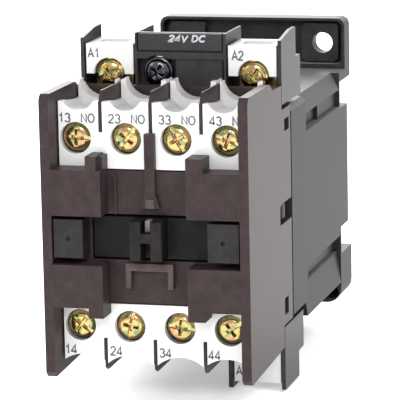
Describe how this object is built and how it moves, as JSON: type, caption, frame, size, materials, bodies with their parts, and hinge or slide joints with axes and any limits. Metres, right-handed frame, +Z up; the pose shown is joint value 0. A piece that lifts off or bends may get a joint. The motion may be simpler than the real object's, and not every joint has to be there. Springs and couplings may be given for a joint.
{
  "type": "din rail contactor",
  "caption": "Panel contactor for a 35 mm DIN rail: magnet base with rail latch, coil tier with its own terminals, front contact block with screw terminals.",
  "frame": {"origin": "centre of the flat back of the centre bar, on the centre line of the rail", "axes": "+Z up the panel, across the rail; +X to the viewer's right, along the rail; +Y into the panel, so the screws face -Y"},
  "size_m": [0.039, 0.0872, 0.0679],
  "materials": {
    "front_housing_plastic": "moulded thermoplastic, fine texture",
    "coil_tier_plastic": "moulded thermoplastic",
    "base_plastic": "moulded thermoplastic",
    "terminal_cover_white": "moulded white thermoplastic with printed terminal numbers",
    "coil_cover_white": "moulded white thermoplastic with printed terminal marks",
    "insert_black_plastic": "black satin plastic",
    "carrier_black_plastic": "black thermoplastic",
    "latch_plastic": "black thermoplastic",
    "rating_label_plate": "dark plate with light print",
    "yellow_zinc_screw": "yellow passivated zinc plate",
    "yellow_zinc_coil_screw": "yellow passivated zinc plate",
    "black_zinc_screw": "black zinc plate",
    "zinc_washer": "zinc plate",
    "brass_strip": "plain brass",
    "coil_terminal_brass": "plain brass",
    "silvered_bridge": "silver faced copper alloy",
    "spring_steel": "drawn wire",
    "winding_copper": "taped enamelled copper winding",
    "yoke_steel": "soft iron, zinc plate",
    "core_steel": "soft iron, ground",
    "armature_steel": "soft iron"
  },
  "bodies": {
    "base": {"front_housing": "front_housing_plastic", "coil_housing": "coil_tier_plastic", "base_housing": "base_plastic", "upper_terminal_cover": "terminal_cover_white", "lower_terminal_cover": "terminal_cover_white", "coil_cover_a1": "coil_cover_white", "coil_cover_a2": "coil_cover_white", "coil_cover_a2_lower": "coil_cover_white", "blanking_cover_left": "insert_black_plastic", "blanking_cover_right": "insert_black_plastic", "rating_label": "rating_label_plate", "clamp_washer_upper_1": "zinc_washer", "clamp_washer_lower_1": "zinc_washer", "clamp_washer_upper_2": "zinc_washer", "clamp_washer_lower_2": "zinc_washer", "clamp_washer_upper_3": "zinc_washer", "clamp_washer_lower_3": "zinc_washer", "clamp_washer_upper_4": "zinc_washer", "clamp_washer_lower_4": "zinc_washer", "fixed_contact_upper_1": "brass_strip", "fixed_contact_lower_1": "brass_strip", "fixed_contact_upper_2": "brass_strip", "fixed_contact_lower_2": "brass_strip", "fixed_contact_upper_3": "brass_strip", "fixed_contact_lower_3": "brass_strip", "fixed_contact_upper_4": "brass_strip", "fixed_contact_lower_4": "brass_strip", "coil_strip_a1": "coil_terminal_brass", "coil_strip_a2": "coil_terminal_brass", "coil_strip_a2_lower": "coil_terminal_brass", "return_spring_left": "spring_steel", "return_spring_right": "spring_steel", "latch_spring": "spring_steel", "coil_winding": "winding_copper", "magnet_yoke": "yoke_steel", "magnet_core": "core_steel"},
    "carrier": {"contact_carrier": "carrier_black_plastic", "armature": "armature_steel", "contact_spring_1": "spring_steel", "contact_spring_2": "spring_steel", "contact_spring_3": "spring_steel", "contact_spring_4": "spring_steel"},
    "bridge_1": {"contact_bridge_1": "silvered_bridge"},
    "bridge_2": {"contact_bridge_2": "silvered_bridge"},
    "bridge_3": {"contact_bridge_3": "silvered_bridge"},
    "bridge_4": {"contact_bridge_4": "silvered_bridge"},
    "latch": {"rail_latch": "latch_plastic"},
    "terminal_screw_upper_1": {"terminal_screw_upper_1": "yellow_zinc_screw"},
    "terminal_screw_lower_1": {"terminal_screw_lower_1": "yellow_zinc_screw"},
    "terminal_screw_upper_2": {"terminal_screw_upper_2": "yellow_zinc_screw"},
    "terminal_screw_lower_2": {"terminal_screw_lower_2": "yellow_zinc_screw"},
    "terminal_screw_upper_3": {"terminal_screw_upper_3": "yellow_zinc_screw"},
    "terminal_screw_lower_3": {"terminal_screw_lower_3": "yellow_zinc_screw"},
    "terminal_screw_upper_4": {"terminal_screw_upper_4": "yellow_zinc_screw"},
    "terminal_screw_lower_4": {"terminal_screw_lower_4": "yellow_zinc_screw"},
    "coil_screw_a1": {"coil_screw_a1": "yellow_zinc_coil_screw"},
    "coil_screw_a2": {"coil_screw_a2": "yellow_zinc_coil_screw"},
    "coil_screw_a2_lower": {"coil_screw_a2_lower": "yellow_zinc_coil_screw"},
    "housing_screw": {"housing_screw": "black_zinc_screw"}
  },
  "joints": [
    {"name": "carrier_slide", "type": "slide", "parent": "base", "child": "carrier", "axis": [0, 1, 0], "range_m": [0, 0.003], "stiffness_N_per_m": 600, "springref_m": -0.005, "deforming": ["contact_spring_1", "contact_spring_2", "contact_spring_3", "contact_spring_4", "return_spring_left", "return_spring_right"]},
    {"name": "bridge_1_slide", "type": "slide", "parent": "base", "child": "bridge_1", "axis": [0, 1, 0], "range_m": [0, 0.002]},
    {"name": "bridge_2_slide", "type": "slide", "parent": "base", "child": "bridge_2", "axis": [0, 1, 0], "range_m": [0, 0.002]},
    {"name": "bridge_3_slide", "type": "slide", "parent": "base", "child": "bridge_3", "axis": [0, 1, 0], "range_m": [0, 0.002]},
    {"name": "bridge_4_slide", "type": "slide", "parent": "base", "child": "bridge_4", "axis": [0, 1, 0], "range_m": [0, 0.002]},
    {"name": "latch_slide", "type": "slide", "parent": "base", "child": "latch", "axis": [0, 0, -1], "range_m": [0, 0.0035], "stiffness_N_per_m": 800, "springref_m": -0.003, "deforming": ["latch_spring"]},
    {"name": "terminal_screw_upper_1_turn", "type": "hinge", "parent": "base", "child": "terminal_screw_upper_1", "pos_m": [-0.01425, -0.0766, 0.0175], "axis": [0, 1, 0], "continuous": true},
    {"name": "terminal_screw_lower_1_turn", "type": "hinge", "parent": "base", "child": "terminal_screw_lower_1", "pos_m": [-0.01425, -0.0766, -0.0175], "axis": [0, 1, 0], "continuous": true},
    {"name": "terminal_screw_upper_2_turn", "type": "hinge", "parent": "base", "child": "terminal_screw_upper_2", "pos_m": [-0.00475, -0.0766, 0.0175], "axis": [0, 1, 0], "continuous": true},
    {"name": "terminal_screw_lower_2_turn", "type": "hinge", "parent": "base", "child": "terminal_screw_lower_2", "pos_m": [-0.00475, -0.0766, -0.0175], "axis": [0, 1, 0], "continuous": true},
    {"name": "terminal_screw_upper_3_turn", "type": "hinge", "parent": "base", "child": "terminal_screw_upper_3", "pos_m": [0.00475, -0.0766, 0.0175], "axis": [0, 1, 0], "continuous": true},
    {"name": "terminal_screw_lower_3_turn", "type": "hinge", "parent": "base", "child": "terminal_screw_lower_3", "pos_m": [0.00475, -0.0766, -0.0175], "axis": [0, 1, 0], "continuous": true},
    {"name": "terminal_screw_upper_4_turn", "type": "hinge", "parent": "base", "child": "terminal_screw_upper_4", "pos_m": [0.01425, -0.0766, 0.0175], "axis": [0, 1, 0], "continuous": true},
    {"name": "terminal_screw_lower_4_turn", "type": "hinge", "parent": "base", "child": "terminal_screw_lower_4", "pos_m": [0.01425, -0.0766, -0.0175], "axis": [0, 1, 0], "continuous": true},
    {"name": "coil_screw_a1_turn", "type": "hinge", "parent": "base", "child": "coil_screw_a1", "pos_m": [-0.014, -0.0553, 0.0262], "axis": [0, 1, 0], "continuous": true},
    {"name": "coil_screw_a2_turn", "type": "hinge", "parent": "base", "child": "coil_screw_a2", "pos_m": [0.014, -0.0553, 0.0262], "axis": [0, 1, 0], "continuous": true},
    {"name": "coil_screw_a2_lower_turn", "type": "hinge", "parent": "base", "child": "coil_screw_a2_lower", "pos_m": [0.014, -0.0553, -0.0264], "axis": [0, 1, 0], "continuous": true},
    {"name": "housing_screw_turn", "type": "hinge", "parent": "base", "child": "housing_screw", "pos_m": [-0.0046, -0.0557, 0.0266], "axis": [0, 1, 0], "continuous": true}
  ],
  "couplings": [
    {"joint": "bridge_1_slide", "follows": "carrier_slide", "ratio": 0.6666},
    {"joint": "bridge_2_slide", "follows": "carrier_slide", "ratio": 0.6666},
    {"joint": "bridge_3_slide", "follows": "carrier_slide", "ratio": 0.6666},
    {"joint": "bridge_4_slide", "follows": "carrier_slide", "ratio": 0.6666}
  ]
}
